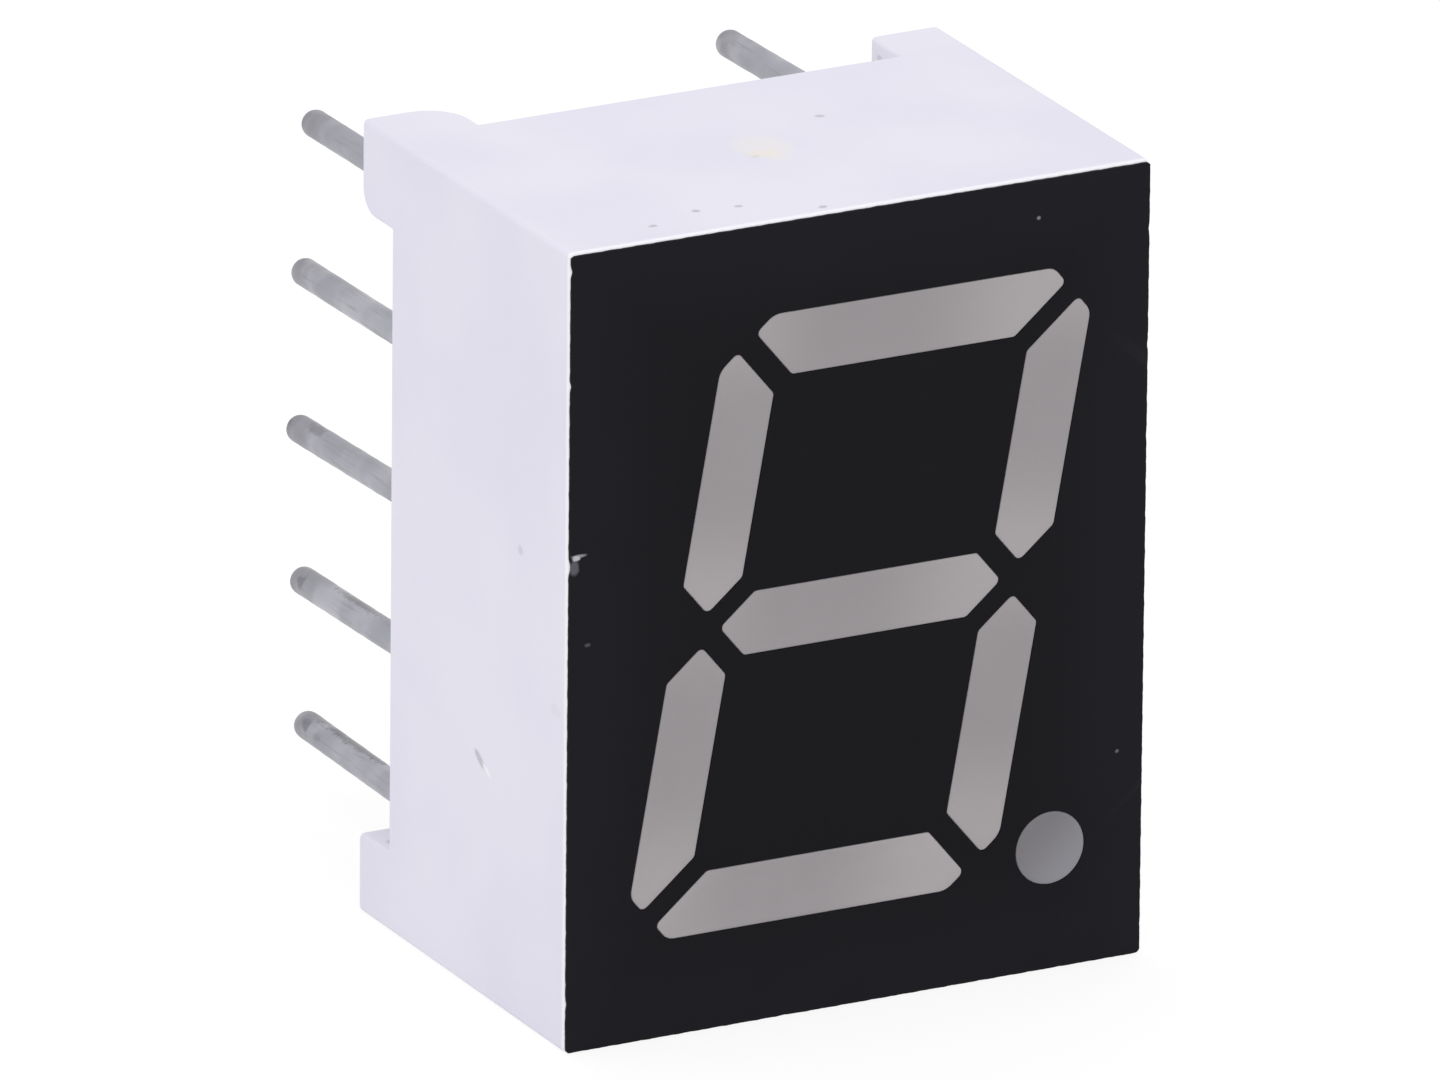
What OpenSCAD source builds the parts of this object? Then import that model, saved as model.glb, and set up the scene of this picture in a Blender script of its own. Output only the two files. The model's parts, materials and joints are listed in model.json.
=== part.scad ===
// Single-digit seven segment display with ten pins, in millimetres.
// X runs to the right of someone who reads the digit, Y from the face back to the pins, Z up.
// The origin is the centre of the pins, on the plane that the four feet seat on.

/* [Body] */
// Width of the body
body_w = 10; // [8.3:0.1:14]
// Height of the body
body_h = 13; // [10.8:0.1:18]
// Depth of the body, from the face to the back rim
body_d = 6; // [4:0.1:10]
// Radius of the four corners
corner_r = 0.15; // [0.05:0.05:0.4]
// Depth of the back pocket, from the back rim to the board's tracks
pocket_d = 1.8; // [1.7:0.1:2.6]
// Thickness of the wall round the back pocket
wall_t = 0.7; // [0.5:0.05:0.75]
// Radius in the corners of the back pocket
pocket_r = 0.45; // [0.1:0.05:0.6]
// Thickness of the printed coat on the face
coat_t = 0.05; // [0.03:0.01:0.2]

/* [Feet] */
// Height of the feet behind the back rim
foot_h = 1; // [0.4:0.1:1.6]
// Length of a plain foot along X
foot_w = 1.2; // [0.9:0.1:2]
// Length of a plain foot along Z
foot_l = 1.3; // [0.9:0.1:2]
// Length of the foot at pin 1 along X and Z
key_foot_l = 1.5; // [1.2:0.1:2.2]
// Rounding of the foot at pin 1, at its end along X
key_round_x = 0.7; // [0.1:0.1:0.9]
// Rounding of the foot at pin 1, at its end along Z
key_round_z = 0.4; // [0.1:0.1:0.9]

/* [Digit] */
// Clear face on each side of the digit, before its slant
side_margin = 1.79; // [1.6:0.005:2.1]
// Clear face above and below the digit
end_margin = 1.54; // [1:0.01:2]
// Breadth of the light bars
bar_t = 1.03; // [0.8:0.01:1.3]
// Gap between neighbouring bars
bar_gap = 0.36; // [0.2:0.01:0.6]
// Size of the bevel across the digit's outer corners
corner_cut = 0.79; // [0.5:0.01:1.1]
// Radius where a bevel meets the long side of its bar
bevel_r = 0.3; // [0.05:0.01:0.4]
// Radius at the tips and the other corners of the bars
tip_r = 0.1; // [0.02:0.01:0.2]
// Slant of the digit, in degrees
slant = 10; // [0:1:12]
// Offset of the digit's centre to the right of the body's
digit_x = 0.05; // [-0.2:0.01:0.2]
// Offset of the digit's centre above the body's
digit_z = 0.04; // [-0.2:0.01:0.2]

/* [Decimal point] */
// Diameter of the decimal point
point_d = 1.2; // [0.9:0.01:1.3]
// Distance from the body's right side to the centre of the decimal point
point_inset = 1.6; // [1.4:0.01:1.7]
// Height of the decimal point's centre above the body's bottom side
point_rise = 1.995; // [1.5:0.005:2.1]

/* [Light cavities] */
// Depth of the straight mouth of each cavity
mouth_d = 0.5; // [0.2:0.1:1.5]
// Length of a cavity's back end
seat_l = 1.3; // [1.2:0.05:1.8]
// Breadth of a cavity's back end
seat_w = 0.66; // [0.6:0.02:0.8]
// Diameter of the decimal point's back end
point_seat_d = 0.9; // [0.85:0.01:1]

/* [Circuit board] */
// Thickness of the board
board_t = 0.8; // [0.4:0.1:1]
// Clearance between the board and the pocket
board_clear = 0.05; // [0.02:0.01:0.1]
// Thickness of the copper tracks
track_t = 0.035; // [0.02:0.005:0.07]
// Width of the copper tracks
track_w = 0.3; // [0.15:0.01:0.32]
// Width across the flats of the eight-sided copper land round each pin
land_d = 0.75; // [0.6:0.01:0.8]
// Clearance between a pin and its hole in the board
hole_clear = 0.03; // [0.01:0.01:0.06]

/* [Light chips] */
// Width of each chip
chip_w = 0.26; // [0.15:0.01:0.3]
// Height of each chip
chip_h = 0.18; // [0.1:0.01:0.25]
// Width of the copper pad under each chip
chip_pad_w = 0.36; // [0.3:0.01:0.38]
// Diameter of each bond wire
wire_d = 0.05; // [0.03:0.005:0.06]
// Span of each bond wire, from its chip to its pad
wire_span = 0.5; // [0.42:0.01:0.52]

/* [Pins] */
// Diameter of the pins
pin_d = 0.45; // [0.35:0.01:0.55]
// Length of the pins behind the feet
pin_l = 4.8; // [2:0.1:12]
// Distance from the body's side to the centre of each column of pins
column_inset = 1.19; // [1.19:0.01:1.25]
// Distance from the body's top and bottom to the centres of the end pins
row_inset = 1.42; // [1.42:0.01:2.5]
// Radius at the pins' ends
pin_end_r = 0.12; // [0.03:0.01:0.17]
// How much a pin's radius falls from the seating plane to its cut end in the board
root_taper = 0.01; // [0.005:0.005:0.03]

/* [Potting] */
// Diameter of each solder joint on the board
solder_d = 0.7; // [0.55:0.01:0.8]
// Height of each solder joint
solder_h = 0.35; // [0.1:0.01:0.4]
// Depth of the potting's surface below the back rim
potting_drop = 0.15; // [0:0.01:0.3]

/* [Hidden] */
// Bars as letter, side of the digit (left -1, right 1) and level (bottom -1, top 1)
BARS = [
  ["a", 0, 1], ["b", 1, 0.5], ["c", 1, -0.5], ["d", 0, -1], ["e", -1, -0.5], ["f", -1, 0.5], ["g", 0, 0]
];
// Letters of the chips, one behind each bar and one behind the decimal point
CHIPS = [for (bar = BARS) bar[0], "dp"];
pins_per_column = 5;
pin_count = 2 * pins_per_column;

// Levels along Y
rim_y = -foot_h;
face_y = rim_y - body_d;
coat_y = face_y + coat_t;
floor_y = rim_y - pocket_d;
board_y = floor_y + track_t;
board_back_y = board_y + board_t;
potting_y = rim_y - potting_drop;

// Size of the digit, before its slant
digit_w = body_w - 2 * side_margin;
digit_h = body_h - 2 * end_margin;
// Centre lines of the bars meet at these distances from the digit's centre
joint_x = (digit_w - bar_t) / 2;
joint_z = (digit_h - bar_t) / 2;

// Centre of the decimal point, to the right of the body's centre and below it
point_x = body_w / 2 - point_inset;
point_drop = body_h / 2 - point_rise;

pocket_w = body_w - 2 * wall_t;
pocket_h = body_h - 2 * wall_t;
cavity_d = body_d - pocket_d;

// Distances between the two columns of pins and between neighbours in a column
column_gap = body_w - 2 * column_inset;
pin_pitch = (body_h - 2 * row_inset) / (pins_per_column - 1);
pin_r = pin_d / 2;
// Overlap that roots a foot in the wall it stands on
foot_root = 0.3;
// Steps in each rounded corner of an outline
arc_steps = 4;
$fn = 48;

// Outlines of the bars

function upright(bar) = bar[1] != 0;

// A bar's centre and direction in the digit, before the slant
function centre(bar) = [bar[1] * joint_x, bar[2] * joint_z];
function direction(bar) = upright(bar) ? [0, 1] : [1, 0];

// A point of the digit, slanted and placed on the body
function slanted(p) = [digit_x + p.x + p.y * tan(slant), digit_z + p.y];

// A side of an outline is its direction from the centre and its distance
function is_bevel(bar, side) =
  sign(sin(side)) == sign(bar[2]) && (!upright(bar) || sign(cos(side)) == bar[1]);

function front_distance(bar, side) =
  let (half_length = upright(bar) ? joint_z / 2 : joint_x)
  side % 90 == 0 ? bar_t / 2
  : is_bevel(bar, side) ? (half_length + bar_t - corner_cut) * cos(45)
  : half_length * cos(45) - bar_gap / 2;

function back_distance(side) = side % 90 == 0 ? seat_w / 2 : seat_l / 2 * cos(45);

function has_side(bar, side) = side % 180 != (upright(bar) ? 90 : 0);
function side_angles(bar) = [for (side = [0 : 45 : 315]) if (has_side(bar, side)) side];

// Radius of the corner that follows a side: wider where a bevel meets a long side
function front_radius(bar, side) =
  let (wide = side % 90 == 0 ? is_bevel(bar, side + 45) : is_bevel(bar, side) && has_side(bar, side + 45))
  wide ? bevel_r : tip_r;

// Where two sides of an outline cross
function crossing(p, q) =
  [p[1] * sin(q[0]) - q[1] * sin(p[0]), q[1] * cos(p[0]) - p[1] * cos(q[0])] / sin(q[0] - p[0]);

// The outline that a list of sides encloses, each with the radius of the corner that follows it
function outline(sides) = [
  for (i = [0 : len(sides) - 1])
    let (
      this = sides[i],
      next = sides[(i + 1) % len(sides)],
      r = this[2],
      turn = (next[0] - this[0] + 360) % 360,
      middle = crossing([this[0], this[1] - r], [this[0] + turn, next[1] - r])
    )
    for (k = [0 : arc_steps])
      let (angle = this[0] + turn * k / arc_steps)
      middle + r * [cos(angle), sin(angle)]
];

function placed(bar, sides) = [for (p = outline(sides)) slanted(centre(bar) + p)];
function front_outline(bar) =
  placed(bar, [for (side = side_angles(bar)) [side, front_distance(bar, side), front_radius(bar, side)]]);
function back_outline(bar) = placed(bar, [for (side = side_angles(bar)) [side, back_distance(side), tip_r]]);

// Places of chips, wires and pins

function bar_of(letter) = [for (bar = BARS) if (bar[0] == letter) bar][0];

// Each chip lies on the side of its cavity that the common track comes from
function chip_side(bar) = upright(bar) ? -sign(bar[2]) : bar[2] < 0 ? 1 : -1;
function chip_at(letter) =
  letter == "dp" ? [point_x - wire_span / 2, -point_drop]
  : let (bar = bar_of(letter)) slanted(centre(bar) + direction(bar) * chip_side(bar) * wire_span / 2);
function pad_at(letter) =
  letter == "dp" ? [point_x + wire_span / 2, -point_drop]
  : let (bar = bar_of(letter)) slanted(centre(bar) - direction(bar) * chip_side(bar) * wire_span / 2);

// Pins count down the left column and up the right one
function pin_at(n) =
  let (left = n <= pins_per_column, row = left ? n : pin_count + 1 - n)
  [(left ? -1 : 1) * column_gap / 2, ((pins_per_column + 1) / 2 - row) * pin_pitch];

// Shared forms

// Extrudes an outline drawn in X and Z from one level of Y to another
module slab(from_y, to_y) {
  translate([0, to_y, 0]) rotate([90, 0, 0]) linear_extrude(to_y - from_y) children();
}

// Stands a round piece on a level of Y, pointing back
module pointing_back(place, y) {
  translate([place.x, y, place.y]) rotate([-90, 0, 0]) children();
}

module rounded_rectangle(w, h, r) {
  square([w - 2 * r, h], center = true);
  square([w, h - 2 * r], center = true);
  for (x = [-1, 1], z = [-1, 1]) translate([x * (w / 2 - r), z * (h / 2 - r)]) circle(r);
}

module body_outline() {
  rounded_rectangle(body_w, body_h, corner_r);
}

module pocket_outline() {
  rounded_rectangle(pocket_w, pocket_h, pocket_r);
}

// Light casts: what fills a cavity from the face to the board

module bar_cast(bar) {
  front = front_outline(bar);
  back = back_outline(bar);
  count = len(front);
  rings = [[face_y, front], [face_y + mouth_d, front], [floor_y, back]];
  points = [for (ring = rings) for (p = ring[1]) [p.x, ring[0], p.y]];
  front_face = [for (i = [count - 1 : -1 : 0]) i];
  back_face = [for (i = [0 : count - 1]) 2 * count + i];
  sides = [
    for (ring = [0, 1], i = [0 : count - 1])
      let (a = ring * count + i, b = ring * count + (i + 1) % count)
      [a, b, b + count, a + count]
  ];
  polyhedron(points, concat([front_face, back_face], sides), convexity = 2);
}

module point_cast() {
  pointing_back([point_x, -point_drop], face_y) {
    cylinder(h = mouth_d, d = point_d);
    translate([0, 0, mouth_d]) cylinder(h = cavity_d - mouth_d, d1 = point_d, d2 = point_seat_d);
  }
}

// Housing

module plain_feet() {
  slab(rim_y - foot_root, 0) intersection() {
    difference() {
      body_outline();
      pocket_outline();
    }
    for (corner = [[1, 1], [1, -1], [-1, -1]])
      translate([corner.x * (body_w - foot_w) / 2, corner.y * (body_h - foot_l) / 2])
        square([foot_w, foot_l], center = true);
  }
}

// Side view of a foot wall whose far end is rounded, drawn along X with its height along Y
module rounded_foot_side(r) {
  polygon([
    [0, -foot_root],
    [key_foot_l, -foot_root],
    for (angle = [0 : 15 : 90]) [key_foot_l - r + r * cos(angle), foot_h - r + r * sin(angle)],
    [0, foot_h]
  ]);
}

module key_foot() {
  intersection() {
    slab(rim_y - foot_root, 0) body_outline();
    union() {
      translate([-body_w / 2, rim_y, body_h / 2 - wall_t])
        linear_extrude(wall_t) rounded_foot_side(key_round_x);
      translate([-body_w / 2, rim_y, body_h / 2])
        rotate([0, 90, 0]) linear_extrude(wall_t) rounded_foot_side(key_round_z);
    }
  }
}

module housing() {
  color("#e7e5f3") difference() {
    union() {
      slab(coat_y, rim_y) body_outline();
      plain_feet();
      key_foot();
    }
    slab(floor_y, rim_y + foot_root) pocket_outline();
    for (bar = BARS) bar_cast(bar);
    point_cast();
  }
}

module face_coat() {
  color("#212024") slab(face_y, coat_y) difference() {
    body_outline();
    for (bar = BARS) polygon(front_outline(bar));
    translate([point_x, -point_drop]) circle(d = point_d);
  }
}

// Light bars

module segment(bar) {
  color("#9b9799") difference() {
    bar_cast(bar);
    chip_form(bar[0]);
    wire_form(bar[0]);
  }
}

module decimal_point() {
  color("#7f7d7f") difference() {
    point_cast();
    chip_form("dp");
    wire_form("dp");
  }
}

// Chips and wires

module chip_form(letter) {
  at = chip_at(letter);
  translate([at.x - chip_w / 2, floor_y - chip_h, at.y - chip_w / 2]) cube([chip_w, chip_h, chip_w]);
}

module led_chip(letter) {
  color("#d8c46a") chip_form(letter);
}

// A half ring rises from the chip and a straight leg goes down to the pad
module wire_form(letter) {
  chip = chip_at(letter);
  pad = pad_at(letter);
  middle = (chip + pad) / 2;
  span = norm(pad - chip);
  heading = atan2(pad.y - chip.y, pad.x - chip.x);
  translate([middle.x, floor_y - chip_h, middle.y]) rotate([0, -heading, 0]) {
    rotate([180, 0, 0]) rotate_extrude(angle = 180) translate([span / 2, 0]) circle(d = wire_d);
    translate([span / 2, 0, 0]) rotate([-90, 0, 0]) cylinder(h = chip_h, d = wire_d);
  }
}

module bond_wire(letter) {
  color("#e2b84a") wire_form(letter);
}

// Circuit board

module circuit_board() {
  color("#3f6b45") slab(board_y, board_back_y) difference() {
    rounded_rectangle(pocket_w - 2 * board_clear, pocket_h - 2 * board_clear, pocket_r - board_clear);
    for (n = [1 : pin_count]) translate(pin_at(n)) circle(pin_r + hole_clear);
  }
}

module leg(from, to) {
  run = to - from;
  translate((from + to) / 2) rotate(atan2(run.y, run.x)) square([norm(run) + track_w, track_w], center = true);
}

module track(points) {
  for (i = [0 : len(points) - 2]) leg(points[i], points[i + 1]);
}

module land(n) {
  translate(pin_at(n)) intersection() {
    square(land_d, center = true);
    rotate(45) square(land_d, center = true);
  }
}

module pad(letter) {
  translate(pad_at(letter)) square(track_w, center = true);
}

// The track from a bar's pad to its own pin
module signal_track(letter, n, via = []) {
  track(concat([pad_at(letter)], via, [pin_at(n)]));
  pad(letter);
  land(n);
}

module common_track() {
  chip = chip_at("g");
  mid_z = pin_at(3).y;
  under_z = -joint_z * 0.3;
  right_x = joint_x * 0.6;
  a = chip_at("a");
  dp = chip_at("dp");
  step = right_x - a.x;
  track([pin_at(3), [chip.x, mid_z], [chip.x, under_z], [right_x, under_z], [right_x, mid_z], pin_at(8)]);
  track([[right_x, mid_z], [right_x, a.y / 2], [a.x, a.y / 2 + step], a]);
  track([[right_x, under_z], [right_x, dp.y], dp]);
  track([[chip_at("d").x, under_z], chip_at("d")]);
  for (letter = ["b", "c", "e", "f"]) track([[chip_at(letter).x, mid_z], chip_at(letter)]);
  for (letter = CHIPS) translate(chip_at(letter)) square(chip_pad_w, center = true);
  land(3);
  land(8);
}

module board_tracks() {
  a = pad_at("a");
  d = pad_at("d");
  g = pad_at("g");
  left_x = -joint_x * 0.4;
  lift = joint_z * 0.2;
  across = g.x - left_x;
  color("#c8803c") slab(floor_y, board_y) difference() {
    union() {
      common_track();
      signal_track("g", 1, [
        [g.x, g.y + lift],
        [left_x, g.y + lift + across],
        [left_x, pin_at(1).y - lift],
        [left_x - lift, pin_at(1).y]
      ]);
      signal_track("f", 2);
      signal_track("e", 4);
      signal_track("d", 5, [[pin_at(5).x + pin_pitch / 4, d.y]]);
      signal_track("dp", 6);
      signal_track("c", 7);
      signal_track("b", 9);
      signal_track("a", 10, [[pin_at(10).x - pin_pitch / 4, a.y]]);
    }
    for (n = [1 : pin_count]) translate(pin_at(n)) circle(pin_r + hole_clear);
  }
}

// Pins and what holds them

// A pin's radius at a level inside the body
function root_r(y) = pin_r - root_taper * y / floor_y;

module pin(n) {
  length = pin_l - floor_y;
  color("#b4b6bd") pointing_back(pin_at(n), floor_y) rotate_extrude() polygon([
    [0, 0],
    [root_r(floor_y), 0],
    [pin_r, -floor_y],
    for (angle = [0 : 15 : 90])
      [pin_r - pin_end_r + pin_end_r * cos(angle), length - pin_end_r + pin_end_r * sin(angle)],
    [0, length]
  ]);
}

// Hollow cheek of a solder joint, as radius and height above the board
function solder_cheek() =
  let (top_r = root_r(board_back_y + solder_h), reach = solder_d / 2 - top_r)
  [for (angle = [0 : 15 : 90]) [top_r + reach * (1 - sin(angle)), solder_h * (1 - cos(angle))]];

module solder_joints() {
  color("#a9abb0") for (n = [1 : pin_count])
    pointing_back(pin_at(n), board_back_y) rotate_extrude()
      polygon(concat([[root_r(board_back_y), 0]], solder_cheek()));
}

// What a pin and its solder joint fill behind the board, up to the seating plane
module soldered_root(n) {
  pointing_back(pin_at(n), board_back_y) rotate_extrude()
    polygon(concat([[0, 0]], solder_cheek(), [[pin_r, -board_back_y], [0, -board_back_y]]));
}

module rear_seal() {
  color("#d9d5c6") difference() {
    slab(board_back_y, potting_y) pocket_outline();
    for (n = [1 : pin_count]) soldered_root(n);
  }
}

housing();
face_coat();
for (bar = BARS) segment(bar);
decimal_point();
circuit_board();
board_tracks();
for (letter = CHIPS) led_chip(letter);
for (letter = CHIPS) bond_wire(letter);
for (n = [1 : pin_count]) pin(n);
solder_joints();
rear_seal();
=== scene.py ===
"""A single-digit seven segment display with ten pins, dressed for the picture.

Lengths are in millimetres until a mesh is made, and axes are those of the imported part:
X to the right of a reader, Y from the face back to the pins, Z up.
"""
import json
import logging
import math
from collections.abc import Callable
from dataclasses import dataclass
from enum import Enum
from functools import cache

import bpy
import numpy as np
from mathutils import Matrix, Vector

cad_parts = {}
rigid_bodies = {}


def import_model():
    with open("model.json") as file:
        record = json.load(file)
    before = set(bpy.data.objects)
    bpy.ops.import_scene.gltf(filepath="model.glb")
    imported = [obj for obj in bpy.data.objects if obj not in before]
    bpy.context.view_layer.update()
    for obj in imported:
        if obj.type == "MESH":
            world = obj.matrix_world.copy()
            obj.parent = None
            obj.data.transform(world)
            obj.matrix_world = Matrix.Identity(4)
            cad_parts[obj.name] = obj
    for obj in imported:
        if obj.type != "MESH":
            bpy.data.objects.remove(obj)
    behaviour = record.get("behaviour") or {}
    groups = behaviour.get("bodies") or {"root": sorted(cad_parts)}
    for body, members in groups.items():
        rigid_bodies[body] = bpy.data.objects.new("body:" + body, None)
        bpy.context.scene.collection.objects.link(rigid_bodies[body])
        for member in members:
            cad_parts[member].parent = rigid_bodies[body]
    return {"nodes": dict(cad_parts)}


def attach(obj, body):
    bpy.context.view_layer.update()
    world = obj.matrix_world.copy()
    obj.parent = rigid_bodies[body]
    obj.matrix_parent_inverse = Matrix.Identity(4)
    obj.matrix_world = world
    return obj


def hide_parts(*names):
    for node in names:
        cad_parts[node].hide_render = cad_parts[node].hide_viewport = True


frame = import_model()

Array = np.ndarray
Colour = tuple[float, float, float]
Point = tuple[float, float, float]
Skin = tuple[np.ndarray, list[list[int]]]
Socket = bpy.types.NodeSocket
MM = 0.001
PINS = range(1, 11)
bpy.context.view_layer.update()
log = logging.getLogger("display")


class Level(float, Enum):
    """Levels along Y that the pieces share, in millimetres."""

    FACE = -7.0
    COAT_BACK = -6.95
    FLOOR = -2.8
    BOARD_BACK = -1.965
    SEAL = -1.15
    RIM = -1.0
    FEET = 0.0
    PIN_TIP = 4.8


# Outlines, lofts and meshes


@dataclass(frozen=True)
class RoundedBox:
    """The outline of a rectangle with rounded corners, centred on the part.

    Attributes:
        half_w: Half its width.
        half_h: Half its height.
        radius: Radius of its corners.
        steps: Pieces in each corner's arc.
    """

    half_w: float
    half_h: float
    radius: float
    steps: int = 8

    def half_side(self, index: int) -> float:
        """Half the length of side 0 to 3, counted from the top one against the clock."""
        return (self.half_w, self.half_h)[index % 2]

    def corner(self, index: int) -> tuple[Array, Array]:
        """One corner's arc, counted from the top right one against the clock.

        The arc is the corner's centre plus the radius times the unit vector of each angle.

        Args:
            index: 0 to 3.

        Returns:
            Points and outward normals, one row each.
        """
        angles = math.pi / 2 * (index + np.linspace(0, 1, self.steps + 1))
        normals = np.column_stack([np.cos(angles), np.sin(angles)])
        signs = np.sign(normals.mean(0))
        centre = signs * [self.half_w - self.radius, self.half_h - self.radius]
        return centre + self.radius * normals, normals

    def outline(self, spacing: float) -> tuple[Array, Array]:
        """The whole outline against the clock, its straight sides divided evenly.

        Args:
            spacing: Longest distance between neighbours on a straight side.

        Returns:
            Points and outward normals, one row each.
        """
        points, normals = [], []
        for index in range(4):
            arc, arc_normals = self.corner(index)
            start = self.corner((index + 1) % 4)[0][0]
            count = int(np.linalg.norm(start - arc[-1]) // spacing)
            share = np.linspace(0, 1, count + 2)[1:-1, None]
            points += [arc, arc[-1] + share * (start - arc[-1])]
            normals += [arc_normals, np.repeat(arc_normals[-1:], count, 0)]
        return np.vstack(points), np.vstack(normals)


BODY = RoundedBox(5.0, 6.5, 0.08)
POCKET = RoundedBox(4.3, 5.8, 0.36)


def ring(outline: Array, y: float | Array) -> Array:
    """An outline of X and Z as points of one ring.

    Args:
        outline: Rows of X and Z.
        y: The ring's level, or one level per point.

    Returns:
        Rows of X, Y and Z.
    """
    return np.column_stack([outline[:, 0], np.broadcast_to(y, len(outline)), outline[:, 1]])


def loft(rings: list[Array]) -> Skin:
    """A closed skin over rings of equal length that run against the clock, from front to back.

    Point i of each ring joins point i of the next, and flat faces close both ends.

    Args:
        rings: Arrays of X, Y and Z, in order along Y.

    Returns:
        Points and faces.
    """
    count = len(rings[0])
    start = np.arange(count)
    after = np.roll(start, -1)
    faces = [list(map(int, start))]
    for index in range(len(rings) - 1):
        low, high = index * count, (index + 1) * count
        faces += np.column_stack([start + low, start + high, after + high, after + low]).tolist()
    faces.append([int(i) for i in start[::-1] + (len(rings) - 1) * count])
    return np.vstack(rings), faces


def turned(centre: Array, radii: Array, levels: Array, sides: int = 32) -> Skin:
    """A round piece along Y: each level is a circle of its own radius round its own centre.

    Args:
        centre: Rows of X and Z, one per level.
        radii: One radius per level, or one row of radii per level.
        levels: Y of each circle, rising.
        sides: Points in each circle.

    Returns:
        Points and faces.
    """
    angles = np.linspace(0, 2 * math.pi, sides, endpoint=False)
    circle = np.column_stack([np.cos(angles), np.sin(angles)])
    radii = np.broadcast_to(np.reshape(radii, (len(levels), -1)), (len(levels), sides))
    return loft([ring(c + r[:, None] * circle, y) for c, r, y in zip(centre, radii, levels)])


def joined(parts: list[Skin]) -> Skin:
    """Several skins as one, each part's faces counted on from the points before it.

    Args:
        parts: The skins.

    Returns:
        Points and faces.
    """
    points, faces, base = [], [], 0
    for part_points, part_faces in parts:
        points.append(part_points)
        faces += [[i + base for i in face] for face in part_faces]
        base += len(part_points)
    return np.vstack(points), faces


def make_object(name: str, skin: Skin) -> bpy.types.Object:
    """An object at the origin from a skin in millimetres.

    Args:
        name: Name of the object and its mesh.
        skin: Points and faces.

    Returns:
        The object, in the scene.
    """
    mesh = bpy.data.meshes.new(name)
    mesh.from_pydata((skin[0] * MM).tolist(), [], skin[1])
    mesh.validate()
    made = bpy.data.objects.new(name, mesh)
    bpy.context.scene.collection.objects.link(made)
    return made


def settle(made: bpy.types.Object) -> None:
    """Turns an object's modifiers into its mesh.

    Args:
        made: The object.
    """
    bpy.context.view_layer.update()
    shaped = made.evaluated_get(bpy.context.evaluated_depsgraph_get())
    mesh = bpy.data.meshes.new_from_object(shaped)
    made.modifiers.clear()
    made.data = mesh


def carve(made: bpy.types.Object, cutter: bpy.types.Object) -> None:
    """Cuts one object's form out of another and deletes the cutter.

    Args:
        made: The object that is cut.
        cutter: The object that it is cut with.
    """
    cut = made.modifiers.new("cut", "BOOLEAN")
    cut.operation = "DIFFERENCE"
    cut.solver = "EXACT"
    cut.object = cutter
    settle(made)
    bpy.data.objects.remove(cutter)


def merged_copy(node: str) -> bpy.types.Object:
    """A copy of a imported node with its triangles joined.

    Args:
        node: Name of the node.

    Returns:
        The copy, in the scene.
    """
    made = bpy.data.objects.new(f"copy_{node}", frame["nodes"][node].data.copy())
    bpy.context.scene.collection.objects.link(made)
    made.modifiers.new("weld", "WELD").merge_threshold = 1e-7
    settle(made)
    return made


def polish(made: bpy.types.Object, sharp_degrees: float = 38.0) -> None:
    """Smooth shading that keeps flat faces flat and sharp edges sharp.

    Args:
        made: The object.
        sharp_degrees: Angle between two faces from which their edge counts as sharp.
    """
    made.data.shade_smooth()
    made.data.set_sharp_from_angle(angle=math.radians(sharp_degrees))
    weighted = made.modifiers.new("weighted", "WEIGHTED_NORMAL")
    weighted.keep_sharp = True


def waves(seed: int, s: Array, longest: float, count: int = 6) -> Array:
    """Gentle irregularity along a line: a sum of sines of falling length and random phase.

    Args:
        seed: Seed of the random draws.
        s: Places along the line.
        longest: Length of the longest wave.
        count: How many sines.

    Returns:
        Values of about -1 to 1.
    """
    draw = np.random.default_rng(seed)
    rates = 2 * math.pi / longest * 1.7 ** np.arange(count) * draw.uniform(0.85, 1.15, count)
    phases = draw.uniform(0, 2 * math.pi, count)
    return (np.sin(np.multiply.outer(s, rates) + phases) * 0.75 ** np.arange(count)).sum(-1) / 1.8


# Node trees


class Graph:
    """A node tree with short calls that add, set and join nodes."""

    def __init__(self, tree: bpy.types.NodeTree) -> None:
        """Takes over a tree and empties it."""
        self.tree = tree
        tree.nodes.clear()

    def add(self, kind: str, sockets: dict | None = None, **settings: object) -> bpy.types.Node:
        """Adds a node.

        Args:
            kind: The node's type without its Shader prefix.
            sockets: Input name or number to a value, or to the output that feeds it.
            **settings: The node's own settings.

        Returns:
            The new node.
        """
        node = self.tree.nodes.new(kind if kind.startswith("Node") else f"ShaderNode{kind}")
        for name, value in settings.items():
            setattr(node, name, value)
        for name, value in (sockets or {}).items():
            if isinstance(value, Socket):
                self.tree.links.new(value, node.inputs[name])
            else:
                node.inputs[name].default_value = value
        return node

    def math(self, operation: str, *values: object) -> Socket:
        """The result of a Math node."""
        return self.add("Math", dict(enumerate(values)), operation=operation).outputs[0]

    def ramp(
        self, value: object, low: float, high: float, to_low: float = 0.0, to_high: float = 1.0
    ) -> Socket:
        """A value carried smoothly from one range to another."""
        sockets = {0: value, 1: low, 2: high, 3: to_low, 4: to_high}
        return self.add("MapRange", sockets, interpolation_type="SMOOTHSTEP").outputs[0]

    def mix(self, factor: object, first: object, second: object) -> Socket:
        """A mix of two colours."""
        four = [c if isinstance(c, Socket) else (*c, 1.0) for c in (first, second)]
        return self.add("Mix", {0: factor, 6: four[0], 7: four[1]}, data_type="RGBA").outputs[2]

    def group(self, tree: bpy.types.NodeTree, sockets: dict) -> bpy.types.Node:
        """Places a shader node group."""
        return self.add("Group", sockets, node_tree=tree)

    def millimetres(self) -> Socket:
        """Object coordinates in millimetres."""
        place = self.add("TexCoord").outputs["Object"]
        return self.add("VectorMath", {0: place, "Scale": 1 / MM}, operation="SCALE").outputs[0]


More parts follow.
